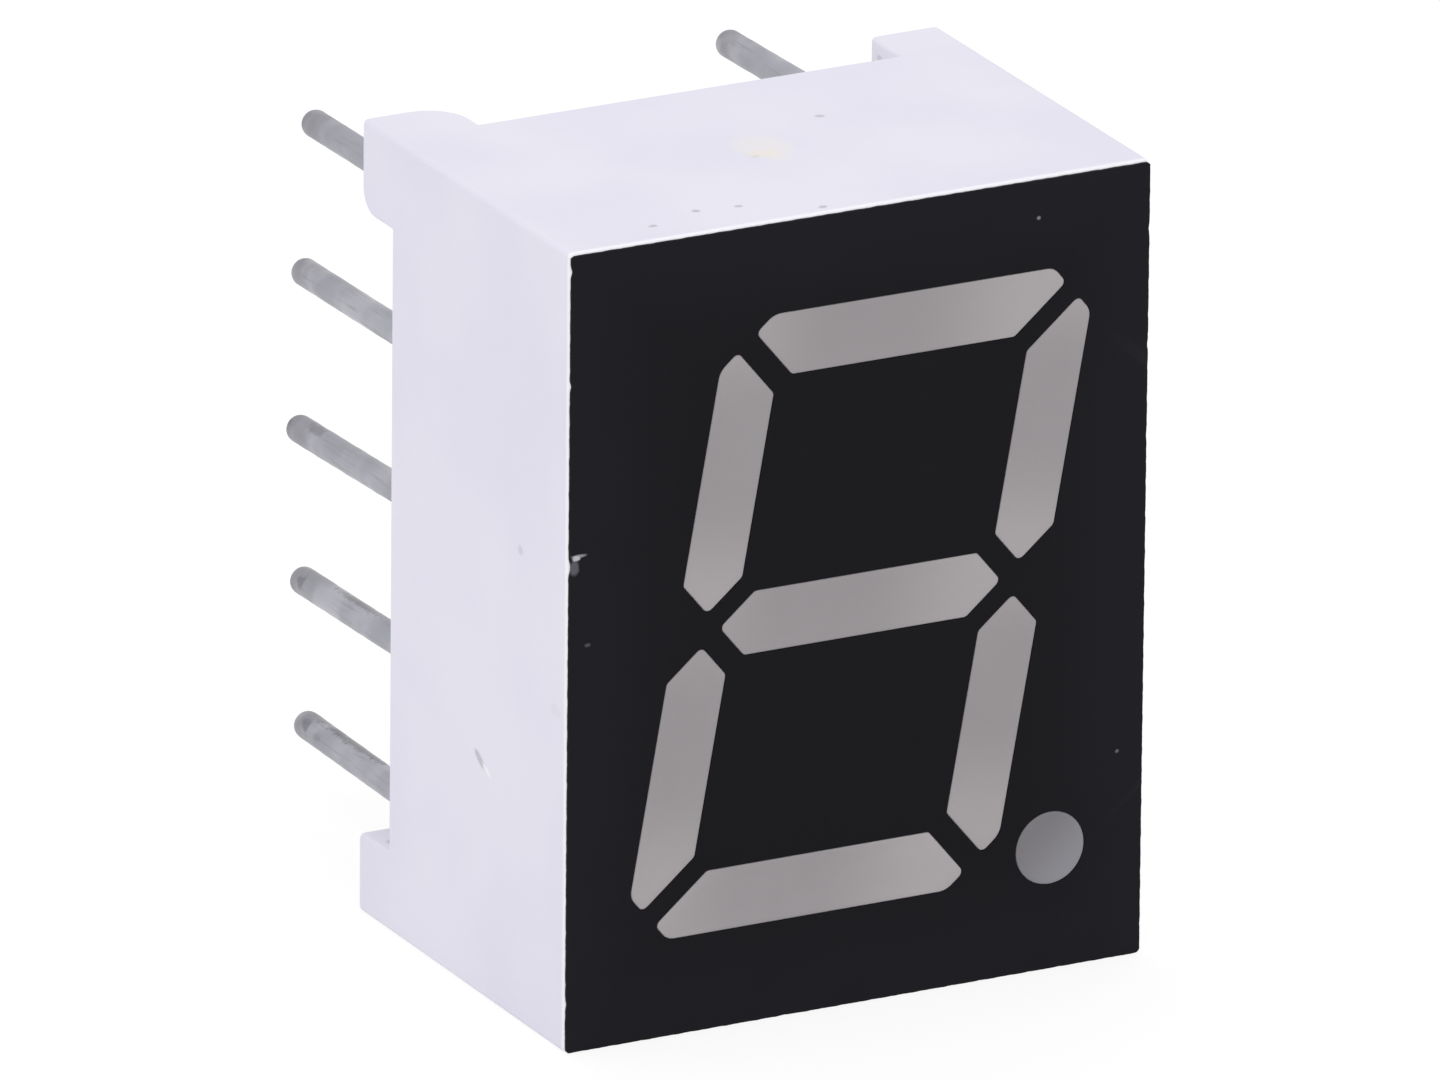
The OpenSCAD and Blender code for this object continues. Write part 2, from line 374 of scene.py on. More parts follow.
def new_group(
    name: str, inputs: dict[str, tuple[str, object]], outputs: list[str]
) -> tuple[Graph, dict, bpy.types.Node]:
    """An empty shader node group.

    Args:
        name: The group's name.
        inputs: Socket name to its kind and first value.
        outputs: Names of the float outputs.

    Returns:
        The group's graph, its inputs by name, and its output node.
    """
    tree = bpy.data.node_groups.new(name, "ShaderNodeTree")
    for label, (kind, value) in inputs.items():
        socket = tree.interface.new_socket(name=label, in_out="INPUT", socket_type=f"NodeSocket{kind}")
        if value is not None:
            socket.default_value = value
    for label in outputs:
        tree.interface.new_socket(name=label, in_out="OUTPUT", socket_type="NodeSocketFloat")
    graph = Graph(tree)
    source = graph.add("NodeGroupInput")
    sink = graph.add("NodeGroupOutput")
    return graph, {label: source.outputs[label] for label in inputs}, sink


@cache
def grain_effect() -> bpy.types.NodeTree:
    """Fine grain: two sizes of noise as a height, and a broad slow one as a tone.

    Returns:
        A group with the place and both sizes in, and Height and Tone out.
    """
    graph, given, sink = new_group(
        "grain",
        {"Vector": ("Vector", None), "Grain Size": ("Float", 0.05), "Tone Size": ("Float", 3.0)},
        ["Height", "Tone"],
    )
    fine_scale = graph.math("DIVIDE", 1.0, given["Grain Size"])
    tone_scale = graph.math("DIVIDE", 1.0, given["Tone Size"])
    fine = graph.add(
        "TexNoise", {"Vector": given["Vector"], "Scale": fine_scale, "Detail": 3.0, "Roughness": 0.6}
    )
    broad = graph.add("TexNoise", {"Vector": given["Vector"], "Scale": tone_scale, "Detail": 2.0})
    graph.tree.links.new(fine.outputs[0], sink.inputs["Height"])
    graph.tree.links.new(graph.ramp(broad.outputs[0], 0.3, 0.7), sink.inputs["Tone"])
    return graph.tree


@cache
def spot_effect() -> bpy.types.NodeTree:
    """One mark: 1 within an ellipsoid round a centre, with a ragged soft border.

    Returns:
        A group with the place and the mark's form in, and Mask out.
    """
    graph, given, sink = new_group(
        "spot",
        {
            "Vector": ("Vector", None),
            "Centre": ("Vector", (0.0, 0.0, 0.0)),
            "Reach": ("Vector", (1.0, 1.0, 1.0)),
            "Ragged": ("Float", 0.3),
            "Noise Size": ("Float", 0.1),
            "Turn": ("Float", 0.0),
        },
        ["Mask"],
    )
    away = graph.add("VectorMath", {0: given["Vector"], 1: given["Centre"]}, operation="SUBTRACT")
    level = graph.add(
        "VectorRotate", {"Vector": away.outputs[0], "Angle": given["Turn"]}, rotation_type="X_AXIS"
    )
    share = graph.add("VectorMath", {0: level.outputs[0], 1: given["Reach"]}, operation="DIVIDE").outputs[0]
    length = graph.add("VectorMath", {0: share}, operation="LENGTH").outputs["Value"]
    scale = graph.math("DIVIDE", 1.0, given["Noise Size"])
    noise = graph.add("TexNoise", {"Vector": given["Vector"], "Scale": scale, "Detail": 2.0}).outputs[0]
    shift = graph.math("MULTIPLY", graph.math("SUBTRACT", noise, 0.5), given["Ragged"])
    graph.tree.links.new(graph.ramp(graph.math("ADD", length, shift), 1.0, 0.45), sink.inputs["Mask"])
    return graph.tree


@cache
def rim_effect() -> bpy.types.NodeTree:
    """Nearness to the outline of the body: 1 at its sides, falling to 0 over a reach inwards.

    Returns:
        A group with the place, half sizes and reach in, and Mask out.
    """
    graph, given, sink = new_group(
        "rim",
        {
            "Vector": ("Vector", None),
            "Half Width": ("Float", BODY.half_w),
            "Half Height": ("Float", BODY.half_h),
            "Reach": ("Float", 0.5),
        },
        ["Mask"],
    )
    parts = graph.add("SeparateXYZ", {0: given["Vector"]}).outputs
    across = graph.math("SUBTRACT", given["Half Width"], graph.math("ABSOLUTE", parts[0]))
    along = graph.math("SUBTRACT", given["Half Height"], graph.math("ABSOLUTE", parts[2]))
    inwards = graph.math("DIVIDE", graph.math("MINIMUM", across, along), given["Reach"])
    graph.tree.links.new(graph.ramp(inwards, 1.0, 0.0), sink.inputs["Mask"])
    return graph.tree


# Finishes


@dataclass(frozen=True)
class Mark:
    """A small spot, smudge, scratch or painted shade at a place on the surface.

    Attributes:
        centre: Its place, in millimetres.
        reach: Its half sizes along X, Y and Z.
        colour: What it turns the surface to.
        strength: How much of that colour shows.
        ragged: How uneven its border is.
        turn: Degrees by which its long way is turned about X.
    """

    centre: Point
    reach: Point
    colour: Colour
    strength: float
    ragged: float = 0.6
    turn: float = 0.0


GREY = (0.42, 0.41, 0.47)
SMUDGE = (0.13, 0.13, 0.15)
# Painted shade along the upper side of the pins.
PIN_TOP_SHADE = (0.21, 0.21, 0.235)
WHITE_MARKS = (
    Mark((-0.05, -3.95, 6.5), (0.62, 0.75, 0.4), (0.86, 0.82, 0.80), 0.55, 1.2),
    Mark((-0.22, -4.18, 6.5), (0.38, 0.22, 0.4), (0.86, 0.79, 0.65), 0.5, 1.2),
    Mark((-0.38, -4.22, 6.5), (0.1, 0.06, 0.2), GREY, 0.25, 1.0),
    Mark((1.37, -2.98, 6.5), (0.1, 0.08, 0.2), GREY, 0.6),
    Mark((-0.54, -6.72, 6.5), (0.09, 0.08, 0.2), GREY, 0.75),
    Mark((-1.68, -6.14, 6.5), (0.09, 0.07, 0.2), GREY, 0.7),
    Mark((-2.37, -6.05, 6.5), (0.09, 0.08, 0.2), GREY, 0.75),
    Mark((-3.27, -6.37, 6.5), (0.09, 0.07, 0.2), GREY, 0.7),
    # Painted shade in the inner corners where the top right and bottom left feet meet the rim.
    Mark((3.8, -0.35, 6.24), (0.1, 0.12, 0.07), GREY, 0.45),
    Mark((-4.71, -0.66, -5.2), (0.18, 0.15, 0.1), GREY, 0.7),
    Mark((-5.0, -4.08, -2.64), (0.2, 0.27, 0.095), GREY, 0.7, 0.7, -30.0),
    Mark((-5.0, -4.32, -2.75), (0.2, 0.22, 0.05), (0.93, 0.92, 0.96), 0.8, 0.5, -30.0),
    Mark((-5.0, -5.4, 1.2), (0.2, 0.12, 0.11), GREY, 0.34),
    Mark((-5.0, -6.6, -1.0), (0.2, 0.2, 0.12), GREY, 0.12, 1.0),
)
BLACK_MARKS = (
    Mark((-4.90, -7.0, 1.42), (0.10, 0.3, 0.16), (0.13, 0.13, 0.155), 0.8, 0.5),
    Mark((-4.82, -7.0, 1.60), (0.17, 0.3, 0.035), (0.28, 0.28, 0.31), 0.9, 0.5),
    Mark((-4.87, -7.0, 1.57), (0.09, 0.3, 0.055), (0.55, 0.55, 0.58), 0.9, 0.5),
    Mark((3.06, -7.0, 5.85), (0.045, 0.3, 0.04), (0.24, 0.24, 0.27), 0.8),
    Mark((4.55, -7.0, -3.1), (0.04, 0.3, 0.04), (0.16, 0.16, 0.18), 0.8),
    Mark((-4.66, -7.0, 0.13), (0.065, 0.3, 0.04), (0.10, 0.10, 0.11), 0.7),
)
# Marks in the colour PIN_TOP_SHADE are painted shade on the upper side of the pins.
TIN_MARKS = (
    Mark((-3.86, 4.53, -0.12), (0.16, 0.12, 0.12), SMUDGE, 0.6, 1.3),
    Mark((-3.83, 3.8, 0.0), (0.18, 0.34, 0.1), PIN_TOP_SHADE, 0.7, 1.3),
    Mark((-3.87, 4.22, -2.66), (0.2, 0.15, 0.13), SMUDGE, 0.55, 1.4),
    Mark((-3.70, 2.6, -2.46), (0.14, 1.4, 0.07), PIN_TOP_SHADE, 0.8, 1.4),
    Mark((-3.79, 4.22, -5.04), (0.2, 0.16, 0.14), SMUDGE, 0.6, 1.4),
    Mark((-3.80, 3.75, -5.1), (0.18, 0.2, 0.08), PIN_TOP_SHADE, 0.4, 1.4),
    Mark((-3.63, 2.8, -4.92), (0.14, 1.6, 0.07), PIN_TOP_SHADE, 0.9, 1.4),
)


@dataclass(frozen=True)
class Finish:
    """A surface: its colour, its slow change of tone, its grain and its marks.

    Attributes:
        name: Name of its material.
        slot: The material slot of the record.
        colour: Its colour where the tone is 0.
        tone: Its colour where the tone is 1.
        roughness: Middle of its roughness.
        roughness_spread: How far the roughness falls and rises with the tone.
        metallic: Share of metal.
        specular: Strength of the clear reflection.
        grain_size: Size of the grain.
        grain_depth: Height of the grain.
        tone_size: Size of the patches of tone.
        marks: The marks on it.
    """

    name: str
    slot: str
    colour: Colour
    tone: Colour
    roughness: float = 0.45
    roughness_spread: float = 0.08
    metallic: float = 0.0
    specular: float = 0.5
    grain_size: float = 0.05
    grain_depth: float = 0.001
    tone_size: float = 3.0
    marks: tuple[Mark, ...] = ()

    def tint(self, graph: Graph, place: Socket, colour: Socket) -> Socket:
        """Changes the colour in the finish's own way; the plain finish leaves it."""
        return colour

    def relief(self, graph: Graph, place: Socket, height: Socket) -> Socket:
        """Changes the height in the finish's own way; the plain finish leaves it."""
        return height

    def make(self) -> bpy.types.Material:
        """Builds the material.

        Returns:
            The material.
        """
        material = bpy.data.materials.new(self.name)
        material.use_nodes = True
        graph = Graph(material.node_tree)
        place = graph.millimetres()
        grain = graph.group(
            grain_effect(), {"Vector": place, "Grain Size": self.grain_size, "Tone Size": self.tone_size}
        )
        colour = self.tint(graph, place, graph.mix(grain.outputs["Tone"], self.colour, self.tone))
        for mark in self.marks:
            spot = graph.group(
                spot_effect(),
                {
                    "Vector": place,
                    "Centre": mark.centre,
                    "Reach": mark.reach,
                    "Ragged": mark.ragged,
                    "Noise Size": min(mark.reach),
                    "Turn": math.radians(mark.turn),
                },
            )
            colour = graph.mix(graph.math("MULTIPLY", spot.outputs[0], mark.strength), colour, mark.colour)
        height = self.relief(graph, place, grain.outputs["Height"])
        bump = graph.add("Bump", {"Height": height, "Strength": 1.0, "Distance": self.grain_depth * MM})
        low, high = self.roughness - self.roughness_spread, self.roughness + self.roughness_spread
        shader = graph.add(
            "BsdfPrincipled",
            {
                "Base Color": colour,
                "Roughness": graph.ramp(grain.outputs["Tone"], 0.0, 1.0, low, high),
                "Metallic": self.metallic,
                "Specular IOR Level": self.specular,
                "Normal": bump.outputs[0],
            },
        )
        graph.add("OutputMaterial", {0: shader.outputs[0]})
        return material


@dataclass(frozen=True)
class MouldedPlastic(Finish):
    """White moulding with a painted highlight that makes it lightest on the thin round edge of the face.

    Attributes:
        lip_highlight_colour: The colour of the painted highlight on that edge.
        lip_highlight_levels: Where the painted highlight begins and where it is full, going forward.
    """

    lip_highlight_colour: Colour = (0.95, 0.95, 1.0)
    lip_highlight_levels: tuple[float, float] = (-6.86, -6.93)

    def tint(self, graph: Graph, place: Socket, colour: Socket) -> Socket:
        """Lightens the rounding in front of the sides with a painted highlight."""
        depth = graph.add("SeparateXYZ", {0: place}).outputs[1]
        return graph.mix(graph.ramp(depth, *self.lip_highlight_levels), colour, self.lip_highlight_colour)


@dataclass(frozen=True)
class PrintedCoat(Finish):
    """Black print, a little lighter towards its border as a painted sheen.

    Attributes:
        border_sheen_colour: The colour at the border, a painted sheen.
        border_sheen_reach: Distance from the border at which the painted sheen has faded.
    """

    border_sheen_colour: Colour = (0.0100, 0.0094, 0.0128)
    border_sheen_reach: float = 2.4

    def tint(self, graph: Graph, place: Socket, colour: Socket) -> Socket:
        """Blends the border's colour in as a painted sheen."""
        rim = graph.group(rim_effect(), {"Vector": place, "Reach": self.border_sheen_reach})
        return graph.mix(rim.outputs[0], colour, self.border_sheen_colour)


@dataclass(frozen=True)
class PaintedLightCast(Finish):
    """Milky cast whose colour drifts to a lighter one along a line, as painted light.

    Attributes:
        middle: Where the line starts.
        run: The vector that grows by one over the line's unit of length.
        light: The lighter colour, painted light.
        start: Where along the line the cast is darkest.
        reach: Distances from the start where the drift begins and ends.
    """

    middle: Point = (0.0, 0.0, 0.0)
    run: Point = (1.0, 0.0, 0.0)
    light: Colour = (0.412, 0.388, 0.397)
    start: float = -0.22
    reach: tuple[float, float] = (0.2, 1.0)

    def tint(self, graph: Graph, place: Socket, colour: Socket) -> Socket:
        """Blends the lighter colour in along the line as painted light.

        Args:
            graph: The material's graph.
            place: Object coordinates in millimetres.
            colour: The colour so far.

        Returns:
            The new colour.
        """
        away = graph.add("VectorMath", {0: place, 1: self.middle}, operation="SUBTRACT").outputs[0]
        along = graph.add("VectorMath", {0: away, 1: self.run}, operation="DOT_PRODUCT").outputs["Value"]
        distance = graph.math("ABSOLUTE", graph.math("SUBTRACT", along, self.start))
        return graph.mix(graph.ramp(distance, *self.reach), colour, self.light)


@dataclass(frozen=True)
class DrawnMetal(Finish):
    """Tinned wire with faint lines along Y and cloudy oxide.

    Attributes:
        line_colour: The colour of the lines.
        line_rates: How often their noise changes in a millimetre of X, Y and Z.
        line_range: Noise values where a line begins and where it is full.
        line_height: Height of the lines, as a multiple of the grain's.
        end_colour: The colour of the oxide.
        end_reach: Levels where the oxide begins and where it is full.
        cloud_rate: How often the oxide's noise changes in a millimetre.
        cloud_range: Noise values between which the oxide grows from its least share to all of it.
        least: That least share.
    """

    line_colour: Colour = (0.33, 0.33, 0.36)
    line_rates: Point = (16.0, 0.9, 16.0)
    line_range: tuple[float, float] = (0.54, 0.74)
    line_height: float = 2.0
    end_colour: Colour = (0.28, 0.275, 0.305)
    end_reach: tuple[float, float] = (3.2, 4.6)
    cloud_rate: float = 2.2
    cloud_range: tuple[float, float] = (0.3, 0.6)
    least: float = 0.15

    def lines(self, graph: Graph, place: Socket) -> Socket:
        """Noise stretched along Y."""
        long = graph.add("VectorMath", {0: place, 1: self.line_rates}, operation="MULTIPLY").outputs[0]
        return graph.add("TexNoise", {"Vector": long, "Scale": 1.0, "Detail": 3.0}).outputs[0]

    def tint(self, graph: Graph, place: Socket, colour: Socket) -> Socket:
        """Darkens some of the lines, and the end in cloudy patches.

        Args:
            graph: The material's graph.
            place: Object coordinates in millimetres.
            colour: The colour so far.

        Returns:
            The new colour.
        """
        line = graph.ramp(self.lines(graph, place), *self.line_range)
        lined = graph.mix(line, colour, self.line_colour)
        cloud = graph.add("TexNoise", {"Vector": place, "Scale": self.cloud_rate, "Detail": 3.0}).outputs[0]
        end = graph.ramp(graph.add("SeparateXYZ", {0: place}).outputs[1], *self.end_reach)
        patches = graph.math("MULTIPLY", end, graph.ramp(cloud, *self.cloud_range, self.least, 1.0))
        return graph.mix(patches, lined, self.end_colour)

    def relief(self, graph: Graph, place: Socket, height: Socket) -> Socket:
        """Adds the lines to the grain."""
        raised = graph.math("MULTIPLY", self.lines(graph, place), self.line_height)
        return graph.math("ADD", height, raised)


@dataclass(frozen=True)
class WovenLaminate(Finish):
    """Glass fibre board whose weave shows through its mask.

    Attributes:
        weave: Length of one wave.
    """

    weave: float = 0.28

    def relief(self, graph: Graph, place: Socket, height: Socket) -> Socket:
        """Adds two crossing waves, one along X and one along Z.

        Args:
            graph: The material's graph.
            place: Object coordinates in millimetres.
            height: The height so far.

        Returns:
            The new height.
        """
        parts = graph.add("SeparateXYZ", {0: place}).outputs
        rate = 2 * math.pi / self.weave
        threads = [graph.math("SINE", graph.math("MULTIPLY", parts[axis], rate)) for axis in (0, 2)]
        return graph.math("ADD", height, graph.math("MULTIPLY", threads[0], threads[1]))


class Finishes:
    """All finishes of the display, each made once."""

    def __init__(self, digit: "Digit") -> None:
        """Sets out the finishes, those of the bars along the bars, and makes their materials.

        Args:
            digit: The figure, which says where its bars lie.
        """
        listed = {
            "white": MouldedPlastic(
                "moulded_white", "white_plastic", (0.80, 0.783, 0.885), (0.775, 0.76, 0.87),
                roughness=0.46, grain_size=0.035, grain_depth=0.0012,
                marks=WHITE_MARKS,
            ),
            "black": PrintedCoat(
                "printed_black", "black_coat", (0.0058, 0.0054, 0.0078), (0.0070, 0.0065, 0.0088),
                roughness=0.5, specular=0.08, grain_size=0.04, grain_depth=0.0008, tone_size=2.0,
                marks=BLACK_MARKS,
            ),
            # The decimal point's cast is drawn lighter towards its lower right, as painted light.
            "epoxy_dp": PaintedLightCast(
                "milky_epoxy_dp", "diffuser_epoxy", (0.196, 0.188, 0.203), (0.204, 0.196, 0.21),
                roughness=0.42, specular=0.35, grain_size=0.12, grain_depth=0.0015, tone_size=0.8,
                middle=(digit.point_place[0], Level.FACE, digit.point_place[1]), run=(1.2, 0.0, -1.2),
                light=(0.275, 0.27, 0.297), start=-1.0, reach=(0.2, 2.1),
            ),
            "tin": DrawnMetal(
                "dull_tin", "pin_metal", (0.43, 0.43, 0.475), (0.37, 0.375, 0.415),
                roughness=0.42, metallic=0.85, grain_size=0.05, grain_depth=0.002, tone_size=0.9,
                marks=TIN_MARKS,
            ),
            "potting": Finish(
                "cast_potting", "potting_epoxy", (0.68, 0.66, 0.56), (0.62, 0.60, 0.49),
                roughness=0.24, grain_size=0.3, grain_depth=0.003, tone_size=2.2,
            ),
            "laminate": WovenLaminate(
                "fibre_laminate", "board_laminate", (0.05, 0.15, 0.07), (0.065, 0.18, 0.08),
                roughness=0.4, grain_size=0.06, grain_depth=0.002,
            ),
            "copper": Finish(
                "etched_copper", "copper_foil", (0.75, 0.36, 0.2), (0.62, 0.28, 0.15),
                roughness=0.35, metallic=1.0, grain_size=0.03, grain_depth=0.001, tone_size=0.8,
            ),
            "crystal": Finish(
                "sawn_crystal", "led_crystal", (0.65, 0.5, 0.12), (0.55, 0.40, 0.10),
                roughness=0.3, grain_size=0.02, grain_depth=0.001, tone_size=0.1,
            ),
            "wire": DrawnMetal(
                "bond_wire", "wire_metal", (0.85, 0.85, 0.86), (0.75, 0.75, 0.77),
                roughness=0.25, metallic=1.0, grain_size=0.02, grain_depth=0.0005, tone_size=0.2,
            ),
            "solder": Finish(
                "smooth_solder", "solder", (0.55, 0.55, 0.57), (0.47, 0.47, 0.49),
                roughness=0.25, metallic=1.0, grain_size=0.08, grain_depth=0.002, tone_size=0.3,
            ),
        }
        for letter in Letter:
            middle, run = digit.drift(letter)
            key = f"epoxy_{letter.name.lower()}"
            # The bottom bar is a little lighter than the others.
            share = 1.07 if letter is Letter.D else 1.0
            # The third shade is painted light towards the ends of each bar.
            shades = ((0.321, 0.301, 0.314), (0.331, 0.312, 0.325), PaintedLightCast.light)
            dark, tone, light = (tuple(share * part for part in shade) for shade in shades)
            listed[key] = PaintedLightCast(
                f"milky_{key}", "diffuser_epoxy", dark, tone,
                roughness=0.42, specular=0.35, grain_size=0.12, grain_depth=0.0015, tone_size=1.6,
                middle=middle, run=run, light=light,
            )
        self.slots = {key: finish.slot for key, finish in listed.items()}
        self.materials = {key: finish.make() for key, finish in listed.items()}

    def dress(self, made: bpy.types.Object, key: str) -> None:
        """Gives a new piece its material and puts it on the part.

        Args:
            made: The piece.
            key: Key of its finish.
        """
        made.data.materials.clear()
        made.data.materials.append(self.materials[key])
        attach(made, "root")

    def redress(self, node: str, key: str) -> None:
        """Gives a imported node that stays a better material."""
        for place in frame["nodes"][node].material_slots:
            place.material = self.materials[key]


# Pieces


class Letter(Enum):
    """The light bars: side of the digit (left -1, right 1) and level (bottom -1, top 1)."""

    A = (0, 1.0)
    B = (1, 0.5)
    C = (1, -0.5)
    D = (0, -1.0)
    E = (-1, -0.5)
    F = (-1, 0.5)
    G = (0, 0.0)


@dataclass
class Digit:
    """The slanted figure: seven light bars and the decimal point.

    Attributes:
        width: Width of the figure before it is slanted.
        height: Height of the figure.
        bar_t: Breadth of a bar.
        bar_gap: Gap between two bars, square to their joint.
        corner_cut: How far the cut across an outer corner reaches along each side.
        bevel_r: Radius of a bar's corners beside that cut.
        tip_r: Radius of its other corners.
        slant: Degrees by which the figure leans to the right.
        offset: Place of the figure's middle on the face.
        mouth: Depth to which a cavity keeps the bar's outline.
        overrun: How far the cutting form stands out of the face.
        seat_l: Length of a cavity's back end.
        seat_w: Breadth of a cavity's back end.
        point_d: Diameter of the decimal point.
        point_seat_d: Diameter of its cavity's back end.
        point_place: Its place on the face.
        steps: Pieces in each corner's arc.
        edge_r: Radius along the border of a cast's front.
        dish: How far a cast's front sinks in its middle.
    """

    width: float = 6.42
    height: float = 9.92
    bar_t: float = 1.03
    bar_gap: float = 0.36
    corner_cut: float = 0.79
    bevel_r: float = 0.3
    tip_r: float = 0.1
    slant: float = 10.0
    offset: tuple[float, float] = (0.05, 0.04)
    mouth: float = 0.5
    overrun: float = 0.3
    seat_l: float = 1.3
    seat_w: float = 0.66
    point_d: float = 1.2
    point_seat_d: float = 0.9
    point_place: tuple[float, float] = (3.4, -4.505)
    steps: int = 6
    edge_r: float = 0.03
    dish: float = 0.035

    def sides(self, letter: Letter, back: bool) -> tuple[Array, Array, Array]:
        """The straight sides of a bar as directions from its middle, distances and radii.

        A flat side lies half a bar's breadth away. An outer bevel lies where the cut across the
        digit's corner puts it, and an inner mitre lies half a gap short of the joint's diagonal.
        The corner that follows a side is wide where a bevel meets a flat side.

        Args:
            letter: The bar.
            back: Whether it is the bar's back end.

        Returns:
            Angles in radians, against the clock, distances, and each following corner's radius.
        """
        side, level = letter.value
        upright = side != 0
        angles = np.arange(0, 360, 45)
        missing = 90 if upright else 0
        angles = angles[angles % 180 != missing]
        turn = np.radians(angles)
        half = math.sqrt(0.5)
        flat = angles % 90 == 0
        if back:
            distance = np.where(flat, self.seat_w / 2, self.seat_l / 2 * half)
            return turn, distance, np.full(len(turn), self.tip_r)
        length = (self.height - self.bar_t) / 4 if upright else (self.width - self.bar_t) / 2
        bevel = np.sign(np.sin(turn).round(6)) == np.sign(level)
        bevel &= (np.sign(np.cos(turn).round(6)) == side) | (not upright)
        bevel &= ~flat
        outer = (length + self.bar_t - self.corner_cut) * half
        mitre = np.where(bevel, outer, length * half - self.bar_gap / 2)
        wide = np.where(flat, np.roll(bevel, -1), bevel & ((angles + 45) % 180 != missing))
        return turn, np.where(flat, self.bar_t / 2, mitre), np.where(wide, self.bevel_r, self.tip_r)

    def placed(self, letter: Letter, local: Array) -> Array:
        """Moves a bar's outline to its place: X is offset by Z times the tangent of the slant.

        Args:
            letter: The bar.
            local: Rows of X and Z, counted from the bar's middle and not yet slanted.

        Returns:
            Rows of X and Z on the face.
        """
        side, level = letter.value
        u = side * (self.width - self.bar_t) / 2 + local[:, 0]
        v = level * (self.height - self.bar_t) / 2 + local[:, 1]
        x = self.offset[0] + u + v * math.tan(math.radians(self.slant))
        return np.column_stack([x, self.offset[1] + v])

    def drift(self, letter: Letter) -> tuple[Point, Point]:
        """A bar's middle, and the vector that measures from there to its right or lower end.

        The vector is the way to that end over the square of its length, so that it counts 1 there.

        Args:
            letter: The bar.

        Returns:
            The middle and the vector.
        """
        side = letter.value[0]
        half = self.height / 4 if side else self.width / 2 - self.corner_cut / 2
        ends = np.array([[0.0, 0.0], [0.0, -half] if side else [half, 0.0]])
        middle, end = self.placed(letter, ends)
        run = (end - middle) / ((end - middle) @ (end - middle))
        return (middle[0], Level.FACE, middle[1]), (run[0], 0.0, run[1])

    def outline(self, letter: Letter, back: bool = False, inset: float = 0.0, share: float = 1.0) -> Array:
        """A bar's outline with rounded corners.

        Each corner is an arc round the point where the two sides, moved in by the radius, cross.

        Args:
            letter: The bar.
            back: Whether it is the bar's back end.
            inset: How far the sides are moved in.
            share: Scale about the bar's middle.

        Returns:
            Rows of X and Z, against the clock.
        """
        this, distance, radius = self.sides(letter, back)
        turn = (np.roll(this, -1) - this) % (2 * math.pi)
        after = this + turn
        near = distance - inset - radius
        far = np.roll(distance, -1) - inset - radius
        middle = np.column_stack([
            near * np.sin(after) - far * np.sin(this),
            far * np.cos(this) - near * np.cos(after),
        ]) / np.sin(turn)[:, None]
        angles = this[:, None] + turn[:, None] * np.linspace(0, 1, self.steps + 1)
        arcs = middle[:, None] + radius[:, None, None] * np.stack([np.cos(angles), np.sin(angles)], -1)
        return self.placed(letter, arcs.reshape(-1, 2) * share)

    def point_outline(self, inset: float = 0.0, share: float = 1.0, back: bool = False) -> Array:
        """The decimal point's circle.

        Args:
            inset: How far the circle is moved in.
            share: Scale about its middle.
            back: Whether it is the cast's back end.

        Returns:
            Rows of X and Z, against the clock.
        """
        angles = np.linspace(0, 2 * math.pi, 64, endpoint=False)
        radius = (self.point_seat_d if back else self.point_d) / 2 - inset
        return np.array(self.point_place) + radius * share * np.column_stack([np.cos(angles), np.sin(angles)])

    def cast(self, outline: Callable[..., Array]) -> list[Array]:
        """Rings of what fills a cavity, from the dished front to the board.

        The front sinks by the dish times one less the square of the distance from its middle, then
        turns over a small radius into the straight mouth, which tapers to the back end.

        Args:
            outline: Gives an outline for inset, share and back.

        Returns:
            Rings from front to back.
        """
        shares = np.linspace(0.1, 1.0, 10)
        rings = [
            ring(outline(inset=self.edge_r, share=t), Level.FACE + self.dish * (1 - t * t)) for t in shares
        ]
        for angle in np.radians([30, 60, 90]):
            inset = self.edge_r * (1 - math.sin(angle))
            rings.append(ring(outline(inset=inset), Level.FACE + self.edge_r * (1 - math.cos(angle))))
        rings.append(ring(outline(), Level.FACE + self.mouth))
        rings.append(ring(outline(back=True), Level.FLOOR))
        return rings

    def cutter(self) -> bpy.types.Object:
        """One object that holds the form of every cavity, reaching out of the face.

        Returns:
            The object.
        """
        outlines = [lambda back=False, k=letter: self.outline(k, back) for letter in Letter]
        outlines.append(lambda back=False: self.point_outline(back=back))
        casts = [
            loft([
                ring(outline(), Level.FACE - self.overrun),
                ring(outline(), Level.FACE + self.mouth),
                ring(outline(back=True), Level.FLOOR),
            ])
            for outline in outlines
        ]
        return make_object("cavities", joined(casts))

    def build(self, finishes: Finishes) -> None:
        """Makes the seven bars and the decimal point, hollowed for what they embed.

        Args:
            finishes: The finishes to dress them with.
        """
        for letter in Letter:
            key = letter.name.lower()
            rings = self.cast(lambda k=letter, **how: self.outline(k, **how))
            self.finish(f"bar_{key}", key, f"segment_{key}", rings, finishes, f"epoxy_{key}")
        rings = self.cast(lambda **how: self.point_outline(**how))
        self.finish("point", "dp", "decimal_point", rings, finishes, "epoxy_dp")

    def finish(
        self, name: str, key: str, node: str, rings: list[Array], finishes: Finishes, finish: str
    ) -> None:
        """Makes one cast, cuts its chip and wire out and puts it in place of its node.

        Args:
            name: Name of the new object.
            key: What the names of its chip and wire end with.
            node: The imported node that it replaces.
            rings: Its rings from front to back.
            finishes: All finishes.
            finish: Key of its own finish.
        """
        made = make_object(name, loft(rings))
        carve(made, merged_copy(f"led_chip_{key}"))
        carve(made, merged_copy(f"bond_wire_{key}"))
        polish(made)
        finishes.dress(made, finish)
        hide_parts(node)
        log.info("%s: %d faces", name, len(made.data.polygons))


